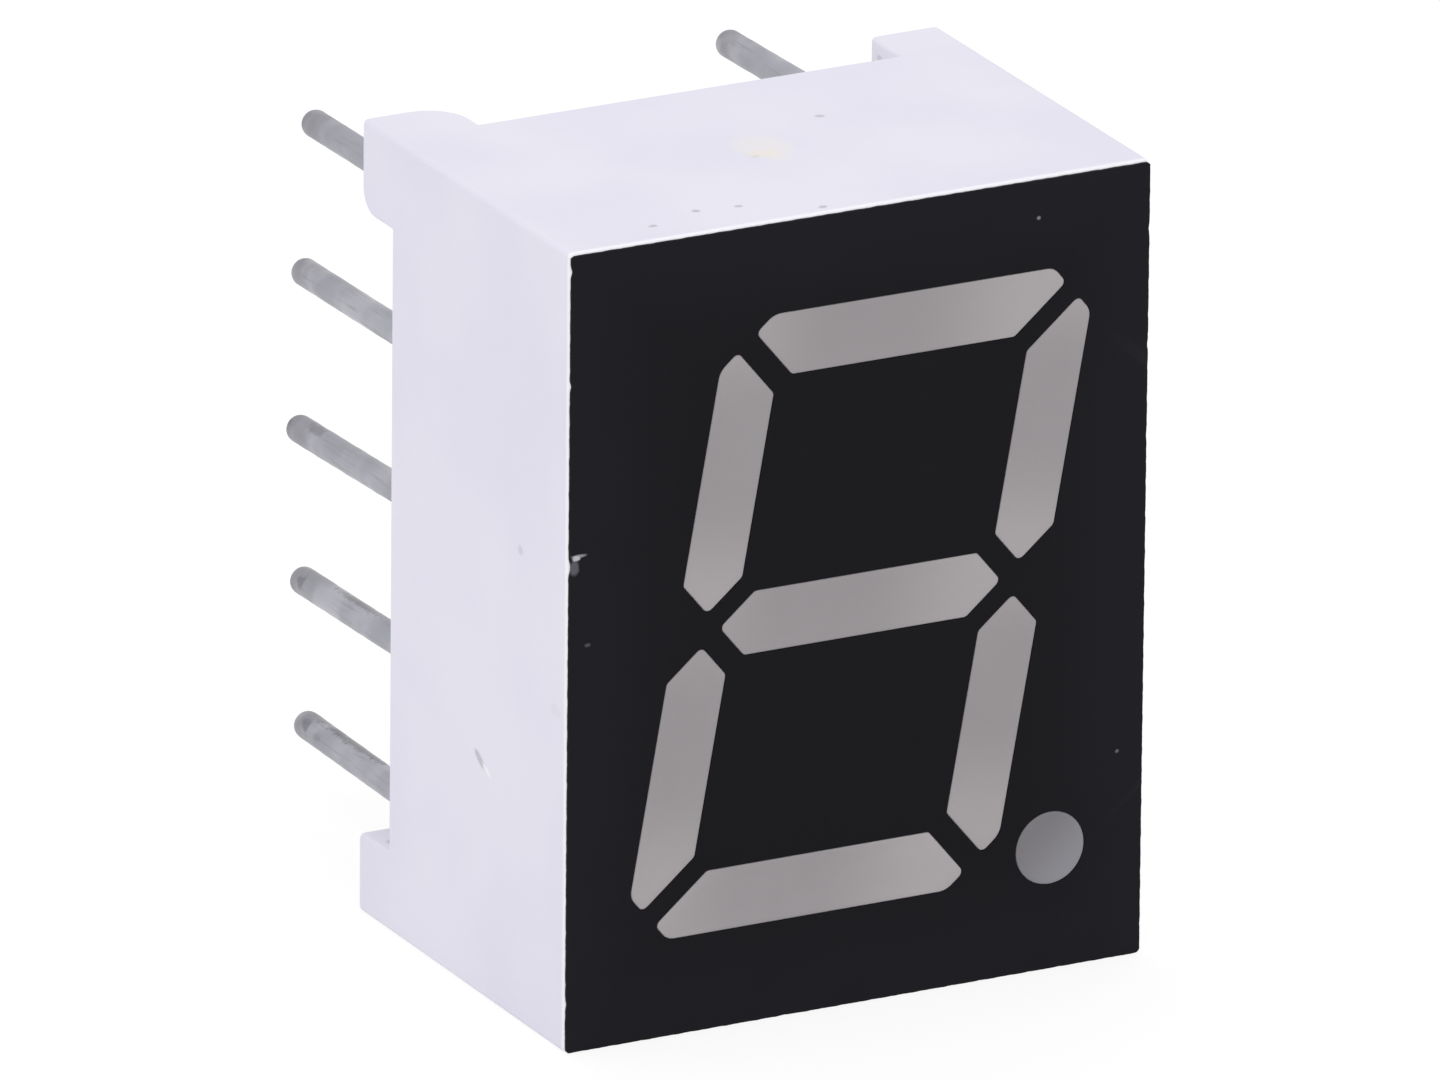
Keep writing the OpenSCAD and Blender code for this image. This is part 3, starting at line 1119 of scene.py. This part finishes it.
@dataclass
class Housing:
    """The white reflector body with its back pocket, its four feet and the light cavities.

    Attributes:
        KEY_SIDES: The sides that end in the foot at pin 1, each with the sign of the distances there.
        outer: The outline of the sides.
        inner: The outline of the pocket.
        foot_w: Length of a plain foot along the top or bottom.
        foot_l: Length of a plain foot along the left or right.
        foot_h: Height of the feet over the rim.
        key_foot_l: Length of the foot at pin 1, both ways.
        key_round_x: Radius of its end along the top.
        key_round_z: Radius of its end along the left.
        foot_round: Radius of a plain foot's ends.
        edge_r: Rounding of every edge.
    """

    KEY_SIDES = {0: -1, 1: 1}

    outer: RoundedBox = BODY
    inner: RoundedBox = POCKET
    foot_w: float = 1.2
    foot_l: float = 1.3
    foot_h: float = 1.0
    key_foot_l: float = 1.5
    key_round_x: float = 0.7
    key_round_z: float = 0.4
    foot_round: float = 0.12
    edge_r: float = 0.06

    def foot_end(self, length: float, radius: float) -> Array:
        """A foot's rounded end: distance from the corner and height.

        The height follows a quarter circle at the foot's end and then drops to the rim.

        Args:
            length: Length of the foot.
            radius: Radius of its end.

        Returns:
            Rows of distance and height, from the foot's top to the rim.
        """
        angles = np.radians(np.arange(90, -1, -10))
        along = length - radius + radius * np.cos(angles)
        height = self.foot_h - radius + radius * np.sin(angles)
        return np.vstack([np.column_stack([along, height]), [length, 0.0]])

    def side(self, index: int) -> Array:
        """Stations along one straight side: distance from the side's middle and height of the rim.

        Args:
            index: 0 for the side after the top right corner, and on against the clock.

        Returns:
            Rows from the side's start to its end, without its corners.
        """
        half = self.outer.half_side(index)
        plain = self.foot_end((self.foot_w, self.foot_l)[index % 2], self.foot_round)
        start = self.foot_end(self.key_foot_l, self.key_round_z) if index == 1 else plain
        end = self.foot_end(self.key_foot_l, self.key_round_x) if index == 0 else plain
        return np.vstack([start * [-1, 1] + [half, 0], (end - [half, 0])[::-1]])

    def straight_run(self, index: int) -> Array:
        """Outer point, inner point and height of each station of one straight side.

        The inner point lies as far along the side as the outer one, up to the end of the foot's
        rounding. Beyond it, distances are squeezed so that they end where the pocket's corner starts.

        Args:
            index: 0 for the side after the top right corner, and on against the clock.

        Returns:
            Rows of the outer X and Z, the inner X and Z, and the height.
        """
        straight = self.side(index)
        distance = straight[:, :1]
        half = self.outer.half_side(index)
        along = np.array([[-1, 0], [0, -1], [1, 0], [0, 1]])[index]
        normal = np.array([[0, 1], [-1, 0], [0, -1], [1, 0]])[index]
        plain_foot = distance * self.KEY_SIDES.get(index, 0) <= 0
        kept = half - (self.foot_w, self.foot_l)[index % 2] + self.foot_round * plain_foot
        inner_end = self.inner.half_side(index) - self.inner.radius
        squeeze = (inner_end - kept) / (half - self.outer.radius - kept)
        drawn_in = np.minimum(abs(distance), kept) + np.maximum(abs(distance) - kept, 0) * squeeze
        outer_points = self.outer.half_side(index + 1) * normal - distance * along
        inner_points = self.inner.half_side(index + 1) * normal - np.sign(distance) * drawn_in * along
        return np.column_stack([outer_points, inner_points, straight[:, 1]])

    def shell(self) -> Skin:
        """The body before its cavities are cut.

        Rim stations run round the outline. Each has an outer point, an inner point and a height,
        and flat faces join them to the front, to the pocket's floor and to each other.

        Returns:
            Points and faces.
        """
        stations, runs = [], []
        for index in range(4):
            arcs = [box.corner(index)[0] for box in (self.outer, self.inner)]
            heights = np.full(len(arcs[0]), self.foot_h)
            runs.append((len(stations), len(stations) + len(heights)))
            stations += np.column_stack([*arcs, heights]).tolist()
            stations += self.straight_run(index).tolist()
        rows = np.array(stations)
        count = len(rows)
        outer_top = ring(rows[:, 0:2], Level.RIM + rows[:, 4])
        inner_top = ring(rows[:, 2:4], Level.RIM + rows[:, 4])
        corners = np.concatenate([np.arange(a, b) for a, b in runs])
        front = ring(rows[corners, 0:2], Level.COAT_BACK)
        floor = ring(rows[corners, 2:4], Level.FLOOR)
        points = np.vstack([outer_top, inner_top, front, floor])
        front_at = {int(c): 2 * count + k for k, c in enumerate(corners)}
        floor_at = {int(c): 2 * count + len(corners) + k for k, c in enumerate(corners)}
        faces = [[i, i + count, (i + 1) % count + count, (i + 1) % count] for i in range(count)]
        for (first, stop), (following, _) in zip(runs, runs[1:] + [(count, 0)]):
            for i in range(first, stop - 1):
                faces.append([front_at[i], i, i + 1, front_at[i + 1]])
                faces.append([floor_at[i + 1], i + 1 + count, i + count, floor_at[i]])
            straight = [i % count for i in range(stop - 1, following + 1)]
            faces.append([front_at[straight[0]], *straight, front_at[straight[-1]]])
            back = [i + count for i in reversed(straight)]
            faces.append([floor_at[straight[-1]], *back, floor_at[straight[0]]])
        faces.append([front_at[int(c)] for c in corners])
        faces.append([floor_at[int(c)] for c in corners])
        return points, faces

    def build(self, digit: Digit, finishes: Finishes) -> None:
        """Makes the body, rounds its edges and cuts the cavities.

        Args:
            digit: The figure, whose cavities are cut.
            finishes: The finishes to dress it with.
        """
        made = make_object("body", self.shell())
        bevel = made.modifiers.new("edges", "BEVEL")
        bevel.width = self.edge_r * MM
        bevel.segments = 3
        bevel.limit_method = "ANGLE"
        bevel.angle_limit = math.radians(40)
        bevel.use_clamp_overlap = False
        settle(made)
        carve(made, digit.cutter())
        polish(made)
        finishes.dress(made, "white")
        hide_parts("housing")
        log.info("body: %d faces", len(made.data.polygons))


@dataclass
class FaceCoat:
    """The black print on the face, whose border is a little uneven and chipped.

    Attributes:
        box: The outline of the body.
        left: Margin at the left.
        top: Margin at the top.
        unevenness: Height of the waves along the border.
        seed: Seed of their random draws.
        wave: Length of the longest of them.
        chips: X and Z of each chip, its reach along the border and its depth.
        edge: How far the print is drawn in, and at what depth, from its front to its back.
        spacing: Distance between neighbouring points of its border.
    """

    box: RoundedBox = BODY
    left: float = 0.02
    top: float = 0.042
    unevenness: float = 0.0035
    seed: int = 5
    wave: float = 0.5
    chips: tuple[tuple[float, float, float, float], ...] = (
        (-5.0, 1.42, 0.10, 0.03), (-5.0, 4.35, 0.05, 0.025), (-5.0, 6.2, 0.06, 0.03),
        (-5.0, -5.7, 0.07, 0.02), (5.0, 5.4, 0.08, 0.012), (5.0, 3.5, 0.06, 0.012),
        (5.0, 2.0, 0.07, 0.012), (-1.2, -6.5, 0.08, 0.01),
    )
    edge: tuple[tuple[float, float], ...] = ((0.008, 0.0), (0.002, 0.004), (0.0, 0.01), (0.0, 0.05))
    spacing: float = 0.04

    def insets(self, points: Array, normals: Array) -> Array:
        """How far the print stays inside the body at each point of the outline.

        It is the left and top margins, each times how far the outline faces that way, plus uneven
        waves, plus a bell curve of the distance to each chip.

        Args:
            points: Rows of X and Z along the body's outline.
            normals: Outward normals, one row each.

        Returns:
            One distance per point.
        """
        run = np.cumsum(np.linalg.norm(np.diff(points, axis=0, prepend=points[:1]), axis=1))
        inset = self.left * np.clip(-normals[:, 0], 0, 1) + self.top * np.clip(normals[:, 1], 0, 1)
        inset += self.unevenness * (1 + waves(self.seed, run, self.wave))
        for x, z, reach, depth in self.chips:
            away = np.hypot(points[:, 0] - x, points[:, 1] - z) / reach
            inset += depth * np.exp(-away ** 2)
        return inset

    def build(self, digit: Digit, finishes: Finishes) -> None:
        """Makes the print with an opening for every bar.

        Args:
            digit: The figure, whose openings are cut.
            finishes: The finishes to dress it with.
        """
        points, normals = self.box.outline(self.spacing)
        inset = self.insets(points, normals)[:, None]
        rings = [ring(points - (inset + drawn) * normals, Level.FACE + depth) for drawn, depth in self.edge]
        made = make_object("print", loft(rings))
        carve(made, digit.cutter())
        polish(made)
        finishes.dress(made, "black")
        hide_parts("face_coat")
        log.info("print: %d faces", len(made.data.polygons))


@dataclass
class Pins:
    """Ten tinned wires, some of them leaning a little where they stand free.

    Attributes:
        radius: Radius where they stand free.
        root_taper: How much of it goes at the board.
        column: X of the right column.
        pitch: Distance between neighbours.
        end_length: Length of the rounded end.
        cut_off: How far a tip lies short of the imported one.
        uneven: Share of the radius by which the surface waves.
        wave: Length of the longest of these waves.
        bend: Power by which the lean grows towards the tip.
        leans: How far each tip leans along X and Z.
    """

    radius: float = 0.225
    root_taper: float = 0.01
    column: float = 3.81
    pitch: float = 2.54
    end_length: float = 0.17
    cut_off: float = 0.12
    uneven: float = 0.018
    wave: float = 0.8
    bend: float = 0.8
    leans: tuple[tuple[float, float], ...] = (
        (0.30, -0.32), (0.13, -0.20), (0.05, -0.24), (0.13, -0.23), (0.21, -0.10),
        (0.03, -0.06), (-0.05, -0.08), (0.04, -0.1), (-0.03, -0.05), (-0.08, -0.10),
    )

    def root_radius(self, level: float | Array) -> float | Array:
        """A pin's radius inside the body, which falls in a line to the board's side."""
        return self.radius - self.root_taper * np.maximum(level / Level.FLOOR, 0)

    def place(self, number: int) -> tuple[float, float]:
        """Where a pin stands: 1 to 5 down the left column, 6 to 10 up the right one."""
        row = number if number <= 5 else 11 - number
        return (-self.column if number <= 5 else self.column, (3 - row) * self.pitch)

    def wire(self, number: int) -> Skin:
        """One pin: circles along a line that leaves the straight by a power of the share of its length.

        The end is a dome whose radius falls as the cosine to the power 0.5. The radius waves along
        the pin and twice round it.

        Args:
            number: The pin's number.

        Returns:
            Points and faces.
        """
        tip = Level.PIN_TIP - self.cut_off
        body = np.concatenate([[Level.FLOOR], np.linspace(Level.SEAL, tip - self.end_length, 48)])
        angles = np.radians([10, 20, 32, 44, 56, 66, 75, 82, 87])
        levels = np.concatenate([body, tip - self.end_length * (1 - np.sin(angles))])
        radii = np.concatenate([self.root_radius(body), self.radius * np.cos(angles) ** 0.5])
        share = np.clip((levels - Level.SEAL) / (Level.PIN_TIP - Level.SEAL), 0, None)
        lean = np.array(self.leans[number - 1])
        centre = np.array(self.place(number)) + lean * (share ** self.bend)[:, None]
        turn = np.linspace(0, 2 * math.pi, 32, endpoint=False)
        along = waves(number, levels, self.wave)[:, None]
        uneven = 0.6 * along + 0.4 * np.cos(2 * turn + number)[None]
        return turned(centre, radii[:, None] * (1 + self.uneven * uneven * (share > 0)[:, None]), levels)

    def build(self, finishes: Finishes) -> None:
        """Makes the ten pins.

        Args:
            finishes: The finishes to dress them with.
        """
        for number in PINS:
            made = make_object(f"lead_{number}", self.wire(number))
            polish(made, 50.0)
            finishes.dress(made, "tin")
            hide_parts(f"pin_{number}")
        log.info("pins: %d", len(PINS))


@dataclass
class RearSeal:
    """The potting in the back pocket, which climbs a little at the walls and pins.

    Attributes:
        pocket: The outline that it fills.
        cell: Size of its surface's cells.
        climb: How high it climbs.
        wall_reach: Distance from a wall over which the climb falls to its 2.7th part.
        pin_reach: The same distance from a pin.
        wave_h: Height of the slow waves.
        solder_r: Radius of a solder joint at the board.
        solder_h: Height of a solder joint.
    """

    pocket: RoundedBox = POCKET
    cell: float = 0.07
    climb: float = 0.11
    wall_reach: float = 0.16
    pin_reach: float = 0.11
    wave_h: float = 0.012
    solder_r: float = 0.35
    solder_h: float = 0.35

    def axis(self, half: float) -> Array:
        """Grid lines across the pocket, with one on each corner's start.

        Args:
            half: Half the pocket's size along this axis.

        Returns:
            Places of the lines, rising.
        """
        straight = half - self.pocket.radius
        inside = np.linspace(-straight, straight, 2 * round(straight / self.cell) + 1)
        edge = np.linspace(0, self.pocket.radius, 6)[1:]
        return np.concatenate([-straight - edge[::-1], inside, straight + edge])

    def plan(self) -> tuple[Array, Array]:
        """Grid points in X and Z, with the corner cells bent onto the corner's arc.

        In a corner, a square's point (u, v) goes to (u sqrt(1 - v v / 2), v sqrt(1 - u u / 2)).

        Returns:
            X and Z of every grid point.
        """
        x, z = np.meshgrid(self.axis(self.pocket.half_w), self.axis(self.pocket.half_h), indexing="ij")
        radius = self.pocket.radius
        start_x, start_z = self.pocket.half_w - radius, self.pocket.half_h - radius
        u = np.clip((abs(x) - start_x) / radius, 0, 1)
        v = np.clip((abs(z) - start_z) / radius, 0, 1)
        bent = (u > 0) & (v > 0)
        new_x = np.sign(x) * (start_x + radius * u * np.sqrt(1 - v * v / 2))
        new_z = np.sign(z) * (start_z + radius * v * np.sqrt(1 - u * u / 2))
        return np.where(bent, new_x, x), np.where(bent, new_z, z)

    def height(self, x: Array, z: Array, pins: Pins) -> Array:
        """Level of the surface: the seal's, raised by decays from the walls and pins, with slow waves.

        Args:
            x: X of each point.
            z: Z of each point.
            pins: The pins that it climbs at.

        Returns:
            Y of each point.
        """
        wall = np.minimum(self.pocket.half_w - abs(x), self.pocket.half_h - abs(z))
        rise = self.climb * np.exp(-wall / self.wall_reach)
        for number in PINS:
            px, pz = pins.place(number)
            away = np.maximum(np.hypot(x - px, z - pz) - pins.radius, 0)
            rise = np.maximum(rise, self.climb * np.exp(-away / self.pin_reach))
        slow = self.wave_h * np.sin(0.9 * x + 0.4) * np.cos(0.7 * z - 0.8)
        return Level.SEAL + rise + slow

    def build(self, pins: Pins, finishes: Finishes) -> None:
        """Makes the potting and cuts the pins and their solder joints out.

        Args:
            pins: The pins that stand in it.
            finishes: The finishes to dress it with.
        """
        x, z = self.plan()
        top = np.stack([x, self.height(x, z, pins), z], -1)
        rows, columns = x.shape
        index = np.arange(rows * columns).reshape(rows, columns)
        cells = np.stack([index[:-1, :-1], index[:-1, 1:], index[1:, 1:], index[1:, :-1]], -1).reshape(-1, 4)
        border = np.concatenate([index[:-1, 0], index[-1, :-1], index[:0:-1, -1], index[0, :0:-1]])
        flat = top.reshape(-1, 3)
        under = flat[border] * [1, 0, 1] + [0, Level.BOARD_BACK, 0]
        low = len(flat) + np.arange(len(border))
        skirt = np.column_stack([border, np.roll(border, -1), np.roll(low, -1), low])
        faces = cells.tolist() + skirt.tolist() + [low.tolist()]
        made = make_object("seal", (np.vstack([flat, under]), faces))
        carve(made, make_object("holes", joined([self.hole(pins, number) for number in PINS])))
        polish(made, 50.0)
        finishes.dress(made, "potting")
        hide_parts("rear_seal")
        log.info("seal: %d faces", len(made.data.polygons))

    def hole(self, pins: Pins, number: int) -> Skin:
        """What a pin and its solder joint take up: a hollow cone, then the pin itself.

        Args:
            pins: All pins.
            number: The pin's number.

        Returns:
            Points and faces.
        """
        angles = np.radians(np.arange(0, 91, 15))
        top = pins.root_radius(Level.BOARD_BACK + self.solder_h)
        radii = top + (self.solder_r - top) * (1 - np.sin(angles))
        levels = Level.BOARD_BACK + self.solder_h * (1 - np.cos(angles))
        radii = np.concatenate([radii[:1], radii, [pins.radius]])
        levels = np.concatenate([[Level.BOARD_BACK - 0.1], levels, [Level.FEET]])
        return turned(np.tile(pins.place(number), (len(levels), 1)), radii, levels)


class Inside:
    """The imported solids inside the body, which keep their shapes."""

    FAMILIES = {
        "circuit_board": "laminate", "board_tracks": "copper", "led_chip": "crystal",
        "bond_wire": "wire", "solder_joints": "solder",
    }

    def dress(self, finishes: Finishes) -> None:
        """Gives each of them its finish.

        Args:
            finishes: The finishes to dress them with.
        """
        for node in frame["nodes"]:
            for family, key in self.FAMILIES.items():
                if node.startswith(family):
                    finishes.redress(node, key)
        log.info("inside dressed")


# Studio and camera


@dataclass(frozen=True)
class Lamp:
    """A distant soft lamp.

    Attributes:
        name: Its name.
        azimuth: Degrees round the upright to where it stands, 0 in front of the face.
        elevation: Degrees above the level.
        strength: How bright it is.
        spread: Degrees of the sky that it fills.
    """

    name: str
    azimuth: float
    elevation: float
    strength: float
    spread: float = 60.0

    def place(self) -> None:
        """Puts the lamp in the scene."""
        data = bpy.data.lights.new(self.name, "SUN")
        data.energy = self.strength
        data.angle = math.radians(self.spread)
        lamp = bpy.data.objects.new(self.name, data)
        turn, rise = math.radians(self.azimuth), math.radians(self.elevation)
        towards = Vector((math.sin(turn) * math.cos(rise), -math.cos(turn) * math.cos(rise), math.sin(rise)))
        lamp.rotation_euler = towards.to_track_quat("Z", "Y").to_euler()
        bpy.context.scene.collection.objects.link(lamp)


@dataclass
class Studio:
    """A white round floor under soft even light.

    Attributes:
        floor_z: Level of the floor.
        floor_r: Radius of the floor.
        bounce: Colour of the floor in the light that it throws back.
        seen: Its colour where it is looked at.
        glow: How much it shines where it is looked at.
        horizon: Brightness of the sky below the part.
        zenith: Brightness of the sky above it.
        lamps: The lamps.
    """

    floor_z: float = -6.501
    floor_r: float = 330.0
    bounce: Colour = (0.84, 0.84, 0.84)
    seen: Colour = (0.24, 0.24, 0.24)
    glow: float = 0.80
    horizon: float = 0.79
    zenith: float = 0.92
    lamps: tuple[Lamp, ...] = (
        Lamp("key", -35.0, 55.0, 0.30),
        Lamp("fill", -75.0, 15.0, 0.19),
    )

    def direct(self, graph: Graph) -> Socket:
        """1 for rays that see a surface directly, in a mirror or through glass.

        Args:
            graph: The graph of the surface or the sky.

        Returns:
            The output with that value.
        """
        rays = graph.add("LightPath").outputs
        seen = graph.math("MAXIMUM", rays["Is Camera Ray"], rays["Is Glossy Ray"])
        return graph.math("MAXIMUM", seen, rays["Is Transmission Ray"])

    def build(self) -> None:
        """Makes the floor, the sky and the lamps."""
        skin = turned(np.zeros((2, 2)), np.array([self.floor_r, self.floor_r]), np.array([0.0, 0.5]), 96)
        points = skin[0][:, [0, 2, 1]] * [1, 1, -1] + [0, 0, self.floor_z]
        floor = make_object("floor", (points, skin[1]))
        material = bpy.data.materials.new("white_floor")
        material.use_nodes = True
        graph = Graph(material.node_tree)
        direct = self.direct(graph)
        shader = graph.add(
            "BsdfPrincipled",
            {
                "Base Color": graph.mix(direct, self.bounce, self.seen),
                "Roughness": 1.0,
                "Specular IOR Level": 0.0,
                "Emission Color": (1.0, 1.0, 1.0, 1.0),
                "Emission Strength": graph.math("MULTIPLY", direct, self.glow),
            },
        )
        graph.add("OutputMaterial", {0: shader.outputs[0]})
        floor.data.materials.append(material)
        world = bpy.data.worlds.new("sky")
        world.use_nodes = True
        graph = Graph(world.node_tree)
        height = graph.add("SeparateXYZ", {0: graph.add("TexCoord").outputs["Generated"]}).outputs[2]
        light = graph.ramp(height, -0.5, 1.0, self.horizon, self.zenith)
        strength = graph.add("Mix", {0: self.direct(graph), 2: light, 3: 1.0}).outputs[0]
        sky = graph.add("Background", {"Color": (1.0, 1.0, 1.0, 1.0), "Strength": strength})
        graph.add("OutputWorld", {0: sky.outputs[0]})
        bpy.context.scene.world = world
        for lamp in self.lamps:
            lamp.place()


@dataclass(frozen=True)
class Viewpoint:
    """Where the picture is taken from; degrees and millimetres.

    Attributes:
        target: The point that it is turned to.
        azimuth: Angle round the upright, 0 in front of the face.
        elevation: Angle above the level.
        roll: Turn about the line of sight.
        distance: Distance from the target.
        aside: How far it is then moved left and down.
        lens: Length of the lens.
    """

    target: Point = (0.0, -3.5, 0.0)
    azimuth: float = -27.664
    elevation: float = 20.005
    roll: float = 0.542
    distance: float = 474.926
    aside: tuple[float, float] = (0.498, 0.049)
    lens: float = 769.9

    def place(self) -> None:
        """Makes the camera."""
        turn, rise, roll = map(math.radians, (self.azimuth, self.elevation, self.roll))
        back = Vector((math.sin(turn) * math.cos(rise), -math.cos(turn) * math.cos(rise), math.sin(rise)))
        level = Vector((0, 0, 1)).cross(back).normalized()
        raised = back.cross(level)
        right = level * math.cos(roll) + raised * math.sin(roll)
        up = raised * math.cos(roll) - level * math.sin(roll)
        spot = Vector(self.target) + back * self.distance - right * self.aside[0] - up * self.aside[1]
        data = bpy.data.cameras.new("camera")
        data.lens = self.lens
        data.sensor_width = 36.0
        data.clip_start = 0.02
        data.clip_end = 5.0
        camera = bpy.data.objects.new("camera", data)
        matrix = Matrix((right, up, back)).transposed().to_4x4()
        matrix.translation = spot * MM
        camera.matrix_world = matrix
        bpy.context.scene.collection.objects.link(camera)
        bpy.context.scene.camera = camera


def main() -> None:
    """Builds everything in order."""
    logging.basicConfig(level=logging.INFO, format="%(name)s: %(message)s")
    bpy.context.scene.view_settings.view_transform = "Standard"
    Viewpoint().place()
    Studio().build()
    digit = Digit()
    finishes = Finishes(digit)
    pins = Pins()
    Housing().build(digit, finishes)
    FaceCoat().build(digit, finishes)
    digit.build(finishes)
    pins.build(finishes)
    RearSeal().build(pins, finishes)
    Inside().dress(finishes)


if __name__ == "__main__":
    main()
